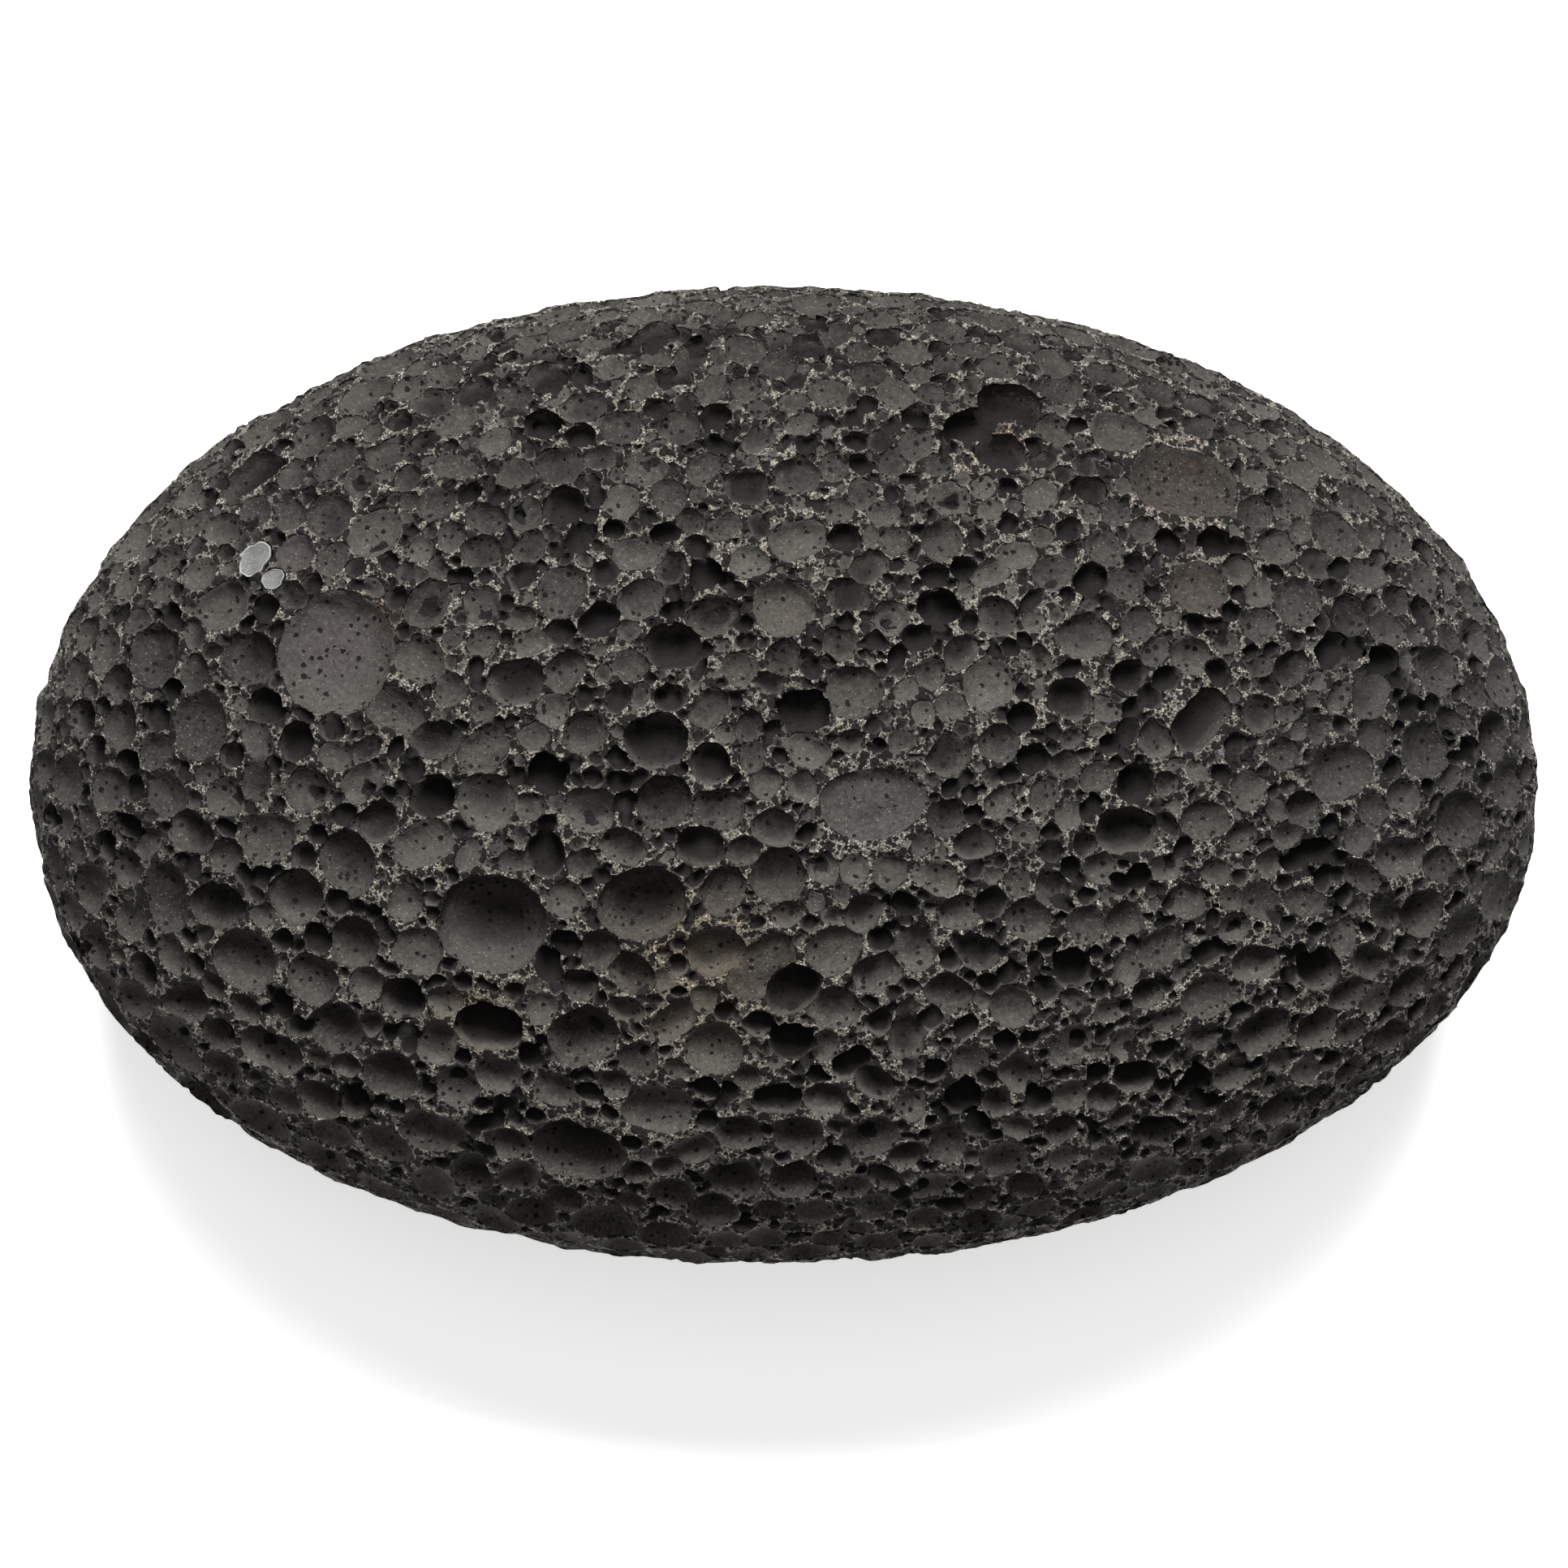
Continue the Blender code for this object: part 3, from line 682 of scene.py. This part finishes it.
def basaltMaterial():
    look = basaltLook
    material = bpy.data.materials.new("openBasalt")
    material.use_nodes = True
    tree = material.node_tree
    shader = tree.nodes["Principled BSDF"]
    place = addNode(tree, "ShaderNodeTexCoord").outputs["Object"]

    def attribute(name, output="Fac"):
        return addNode(tree, "ShaderNodeAttribute", attribute_name=name).outputs[output]

    rimDistance, hollowDepth = attribute("rimDistance"), attribute("hollowDepth")
    openGround, tint = attribute("openGround"), attribute("bubbleTint")
    tintAndShade = attribute("mineralStain", "Color")

    def noise(size, detail, rough=0.55):
        inputs = {"Vector": place, "Scale": 1 / (size * mm), "Detail": detail, "Roughness": rough}
        return addNode(tree, "ShaderNodeTexNoise", inputs).outputs["Fac"]

    def group(which, inputs):
        return addNode(tree, "ShaderNodeGroup", {"Vector": place, **inputs}, node_tree=which).outputs

    # smooth brown-grey floors
    patches = fade(tree, noise(5.0, 3), 0.35, 0.68)
    mottle = fade(tree, noise(0.32, 5, 0.78), 0.34, 0.66)
    floorMix = mathNode(tree, "MULTIPLY_ADD", mottle, 0.55, mathNode(tree, "MULTIPLY", tint, 0.45))
    floorColour = blend(tree, floorMix, look["floorDark"], look["floorLight"])

    # gritty pale rims and the narrow ground between the bubbles
    grit = fade(tree, noise(0.15, 3, 0.75), 0.44, 0.6)
    gritColour = blend(tree, grit, look["gritDark"], look["gritLight"])
    rimWidth = mathNode(tree, "MULTIPLY", noise(0.5, 2), 0.26)
    onRim = fade(tree, mathNode(tree, "DIVIDE", rimDistance, rimWidth), 1.15, 0.35)
    onRim = mathNode(tree, "MULTIPLY", onRim, mathNode(tree, "MULTIPLY_ADD", patches, 0.35, 0.65))
    ground = blend(tree, onRim, floorColour, gritColour)
    # multiplies in the listed tints, painted sheen and painted shade
    ground = blend(tree, 1.0, ground, tintAndShade, "MULTIPLY")

    speckShare = mathNode(tree, "MULTIPLY_ADD", onRim, 0.22, 0.1)
    fineGrain = group(crystalGrain, {"Grain Size": 0.15 * mm, "Amount": speckShare})
    speckColour = blend(tree, fade(tree, fineGrain["Kind"], 0.90, 0.97), look["speck"], look["yellowSpeck"])
    speckShine = mathNode(tree, "MULTIPLY_ADD", onRim, 0.68, 0.2)
    speckStrength = mathNode(tree, "MULTIPLY", fineGrain["Speck"], speckShine)
    speckled = blend(tree, speckStrength, ground, speckColour)

    # pinholes, painted as near-black shade: few and small on the bubbles' floors, many between the bubbles
    floorPores = group(pinholePores, {"Spacing": 0.50 * mm, "Widest": 0.38, "Rarity": 1.8})["Pore"]
    foam = mathNode(tree, "MAXIMUM",
                    group(pinholePores, {"Spacing": 0.58 * mm, "Widest": 0.68, "Rarity": 0.8})["Pore"],
                    group(pinholePores, {"Spacing": 0.30 * mm, "Widest": 0.66, "Rarity": 1.0})["Pore"])
    foamShare = mathNode(tree, "MAXIMUM", openGround, fade(tree, rimDistance, 0.22, 0.04))
    foam = mathNode(tree, "MULTIPLY", foam, fade(tree, foamShare, 0.1, 0.5))
    pores = mathNode(tree, "MAXIMUM", floorPores, foam)
    # painted shade: the deeper a point lies in its bubble for the bubble's width, the nearer to near-black
    # it is painted
    sunk = fade(tree, hollowDepth, 0.26, 0.62)
    poreAndHollowShade = mathNode(tree, "MAXIMUM", pores, mathNode(tree, "MULTIPLY", sunk, 0.93))
    final = blend(tree, mathNode(tree, "MULTIPLY", poreAndHollowShade, 0.96), speckled, look["holeShade"])
    tree.links.new(final, shader.inputs["Base Color"])
    shader.inputs["Roughness"].default_value = look["roughness"]
    shader.inputs["Specular IOR Level"].default_value = 0.2

    rimHeight = mathNode(tree, "MULTIPLY_ADD", onRim, 0.9, 0.35)
    height = mathNode(tree, "MULTIPLY", fineGrain["Height"], rimHeight)
    height = mathNode(tree, "ADD", height, mathNode(tree, "MULTIPLY", fineGrain["Speck"], 0.2))
    height = mathNode(tree, "SUBTRACT", height, mathNode(tree, "MULTIPLY", pores, 1.3))
    bump = addNode(tree, "ShaderNodeBump", {"Strength": 1.0, "Distance": 0.12 * mm, "Height": height})
    tree.links.new(bump.outputs["Normal"], shader.inputs["Normal"])
    return material


# places where the rock is tinged: x, y, reach in millimetres, and what its colour is multiplied by.
# Most are tints of the rock; the purple one at (-30.4, 8.6) and the blue one at (5.9, -2.1) are painted
# iridescent sheen, and the darkening ones on the deep bubbles at (-19.5, -10.2) and (-9.5, -8.9), at both
# ends and along the top edge are painted shade
tintsAndShade = [
    (-30.4, 8.6, 2.6, (1.04, 0.93, 1.12)), (-27.0, 10.4, 1.3, (1.20, 0.86, 0.86)),
    (-32.2, 15.2, 1.8, (1.08, 0.95, 1.04)), (5.9, -2.1, 2.6, (1.0, 1.03, 1.14)),
    (-6.0, -13.0, 5.0, (1.22, 1.10, 0.96)), (-20.0, -16.0, 2.5, (1.15, 1.04, 0.92)),
    (26.8, 19.4, 3.0, (1.10, 0.91, 0.88)), (14.5, 22.5, 2.5, (1.1, 0.92, 0.88)),
    (27.5, 12.4, 2.2, (1.06, 0.92, 0.9)), (-19.5, -10.2, 3.2, (0.62, 0.63, 0.68)),
    (-9.5, -8.9, 2.4, (0.72, 0.70, 0.72)), (0.0, 10.0, 5.0, (1.10, 1.08, 1.04)),
    (-45.0, 0.0, 15.0, (0.64, 0.64, 0.64)), (45.0, 2.0, 15.0, (0.62, 0.63, 0.65)),
    (2.0, 31.0, 14.0, (0.72, 0.72, 0.71)), (-30.0, 25.0, 12.0, (0.80, 0.80, 0.8)),
    (30.0, 24.0, 12.0, (0.80, 0.80, 0.8)),
]


def wallsOf(points):
    # the bubble whose wall each point is on, or -1, and how far it is to the next bubble's wall
    tree = treeOf(points)
    nearest, following = np.full(len(points), 1.0), np.full(len(points), 1.0)
    bubble = np.full(len(points), -1)
    for centre, radius, owner in zip(ballCentres, ballRadii, ballOwners):
        for _, index, away in tree.find_range(centre, radius + rock["rimReach"]):
            gap = away - radius
            if gap < nearest[index]:
                if bubble[index] != owner:
                    following[index] = nearest[index]
                    bubble[index] = owner
                nearest[index] = gap
            elif gap < following[index] and bubble[index] != owner:
                following[index] = gap
    bubble[nearest > rock["wallReach"]] = -1
    return bubble, following


def markRock(mesh):
    # stores on the mesh what the finish needs to know about each bubble
    points = corners(mesh)
    depths = np.maximum(depthBelowSkin(points), 0)
    bubble, toNext = wallsOf(points)
    onWall = bubble >= 0
    storeFloat(mesh, "rimDistance", np.minimum(toNext, depths) / mm)
    storeFloat(mesh, "openGround", ~onWall)
    # depth as a share of the bubble's width, from which the finish paints shade in deep bubbles
    hollow = np.where(onWall, depths / bubbleWidths[bubble], 0.0)
    storeFloat(mesh, "hollowDepth", hollow)
    chance = np.random.default_rng(5).random(len(bubbleWidths))
    storeFloat(mesh, "bubbleTint", np.where(onWall, chance[bubble], 0.5))
    # tints of the rock, painted sheen and painted shade from the list above, multiplied together
    colour = np.ones((len(points), 3))
    spots = onSkin(crownDirections([(x * mm, y * mm) for x, y, _, _ in tintsAndShade]))
    for spot, (_, _, reach, factor) in zip(spots, tintsAndShade):
        near = np.exp(-np.sum((points - spot) ** 2, axis=1) / (reach * mm) ** 2)
        colour *= 1 + (np.array(factor) - 1) * near[:, None]
    storeColour(mesh, "mineralStain", colour)


stone = buildRock(basaltMaterial())
stone.data.shade_smooth()
stone.data.set_sharp_from_angle(angle=math.radians(50))
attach(stone, "root")
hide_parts("basalt_stone")

mineralLook = {
    "body": (0.074, 0.075, 0.070, 1),
    "cloud": (0.108, 0.109, 0.102, 1),
    # painted shade inside the mineral's pinholes
    "rim": (0.33, 0.325, 0.305, 1),
    "holeShade": (0.05, 0.048, 0.045, 1),
    "roughness": 0.62,
}


def mineralMaterial():
    look = mineralLook
    material = bpy.data.materials.new("paleMineral")
    material.use_nodes = True
    tree = material.node_tree
    shader = tree.nodes["Principled BSDF"]
    place = addNode(tree, "ShaderNodeTexCoord").outputs["Object"]
    rimShare = addNode(tree, "ShaderNodeAttribute", attribute_name="rimShare").outputs["Fac"]
    cloud = addNode(tree, "ShaderNodeTexNoise",
                    {"Vector": place, "Scale": 1 / (0.7 * mm), "Detail": 3.0}).outputs["Fac"]
    grain = addNode(tree, "ShaderNodeGroup", {"Vector": place, "Grain Size": 0.12 * mm, "Amount": 0.35},
                    node_tree=crystalGrain)
    pores = addNode(tree, "ShaderNodeGroup", {"Vector": place, "Spacing": 0.6 * mm, "Widest": 0.2},
                    node_tree=pinholePores)
    colour = blend(tree, fade(tree, cloud, 0.35, 0.65), look["body"], look["cloud"])
    pale = mathNode(tree, "MAXIMUM", rimShare, mathNode(tree, "MULTIPLY", grain.outputs["Speck"], 0.25))
    colour = blend(tree, pale, colour, look["rim"])
    # pinholes in the mineral painted dark: painted shade
    colour = blend(tree, mathNode(tree, "MULTIPLY", pores.outputs["Pore"], 0.7), colour, look["holeShade"])
    tree.links.new(colour, shader.inputs["Base Color"])
    shader.inputs["Roughness"].default_value = look["roughness"]
    bump = addNode(tree, "ShaderNodeBump",
                   {"Strength": 0.7, "Distance": 0.05 * mm, "Height": grain.outputs["Height"]})
    tree.links.new(bump.outputs["Normal"], shader.inputs["Normal"])
    return material


def mineralLens(filling, material):
    # dished on top with a raised lip, bowl-shaped below, and a little uneven all round
    wobble = np.random.default_rng(filling["seed"])
    waves = [(count, wobble.uniform(0, 2 * math.pi), size)
             for count, size in ((2, 0.045), (3, 0.05), (5, 0.032), (8, 0.02), (13, 0.012))]
    around = np.linspace(0, 2 * math.pi, 72, endpoint=False)
    edge = 1 + sum(size * np.cos(count * around + turn) for count, turn, size in waves)
    normal = skinNormals(filling["direction"][None, :])[0]
    turn = math.radians(filling["turn"])
    along = np.array([math.cos(turn), math.sin(turn), 0.0])
    along -= normal * (normal @ along)
    along /= np.linalg.norm(along)
    across = np.cross(normal, along)
    top = onSkin(filling["direction"][None, :])[0]
    points, rimShare, faces = [], [], []

    def ring(share, height, pale):
        for step, angle in enumerate(around):
            reach = share * edge[step]
            first = reach * filling["length"] / 2 * mm * math.cos(angle)
            second = reach * filling["width"] / 2 * mm * math.sin(angle)
            points.append(top + along * first + across * second + normal * height * mm)
            rimShare.append(pale)

    upper = (0.12, 0.3, 0.5, 0.68, 0.8, 0.87, 0.91, 0.95, 0.985, 1.0)
    lower = (0.97, 0.88, 0.72, 0.5, 0.25)
    for share in upper:
        lip = math.exp(-((share - 0.96) / 0.035) ** 2)
        ring(share, -0.10 * (1 - share ** 2) - 0.09 + 0.05 * lip, lip)
    for share in lower:
        ring(share, -0.10 - (filling["thickness"] - 0.25) * math.sqrt(1 - share ** 2), 0.0)
    count, rings = len(around), len(upper) + len(lower)
    for level in range(rings - 1):
        for step in range(count):
            after = (step + 1) % count
            faces.append((level * count + step, (level + 1) * count + step,
                          (level + 1) * count + after, level * count + after))
    faces.append(tuple(range(count)))
    faces.append(tuple(reversed(range((rings - 1) * count, rings * count))))
    lens = meshObject(filling["name"], points, faces)
    storeFloat(lens.data, "rimShare", rimShare)
    lens.data.materials.append(material)
    lens.data.shade_smooth()
    lens.data.set_sharp_from_angle(angle=math.radians(60))
    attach(lens, "root")
    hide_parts(filling["node"])


paleMineral = mineralMaterial()
for filling in fillings:
    mineralLens(filling, paleMineral)
report("mineral fillings placed")

# floor, light and camera

studio = {
    "floorColour": (0.9, 0.9, 0.9, 1),
    "floorGlow": 0.66,
    "surroundings": 0.10,
    "aim": (0, 0, 0.015),
    "keyPlace": (0.03, 0.49, 0.62), "keySize": (0.36, 0.34), "keyPower": 15,
    "overheadPlace": (0, 0.05, 0.9), "overheadSize": (0.5, 0.5), "overheadPower": 1.6,
}

bpy.ops.mesh.primitive_plane_add(size=8.0)
floor = bpy.context.object
floor.name = "floor"
paleFloor = bpy.data.materials.new("paleFloor")
paleFloor.use_nodes = True
floorShader = paleFloor.node_tree.nodes["Principled BSDF"]
floorShader.inputs["Base Color"].default_value = studio["floorColour"]
floorShader.inputs["Emission Color"].default_value = studio["floorColour"]
floorShader.inputs["Emission Strength"].default_value = studio["floorGlow"]
floor.data.materials.append(paleFloor)

world = bpy.data.worlds.new("studio")
bpy.context.scene.world = world
world.use_nodes = True
world.node_tree.nodes["Background"].inputs["Color"].default_value = (1, 1, 1, 1)
world.node_tree.nodes["Background"].inputs["Strength"].default_value = studio["surroundings"]
bpy.context.scene.view_settings.view_transform = "Standard"


def softbox(name, place, size, watts):
    data = bpy.data.lights.new(name, "AREA")
    data.shape = "RECTANGLE"
    data.size, data.size_y = size
    data.energy = watts
    lamp = bpy.data.objects.new(name, data)
    bpy.context.scene.collection.objects.link(lamp)
    lamp.location = place
    aim = Vector(studio["aim"]) - lamp.location
    lamp.rotation_euler = aim.to_track_quat("-Z", "Y").to_euler()


softbox("keyPanel", studio["keyPlace"], studio["keySize"], studio["keyPower"])
softbox("overheadPanel", studio["overheadPlace"], studio["overheadSize"], studio["overheadPower"])

camera = bpy.data.objects.new("camera", bpy.data.cameras.new("camera"))
bpy.context.scene.collection.objects.link(camera)
bpy.context.scene.camera = camera
camera.data.lens = viewpoint["lens"]
camera.data.sensor_width = viewpoint["sensor"]
camera.data.shift_y = viewpoint["lift"]
camera.location = eye
camera.rotation_euler = (math.radians(90 - viewpoint["climb"]), 0, 0)
camera.data.clip_start = 0.01

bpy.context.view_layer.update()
report("done")
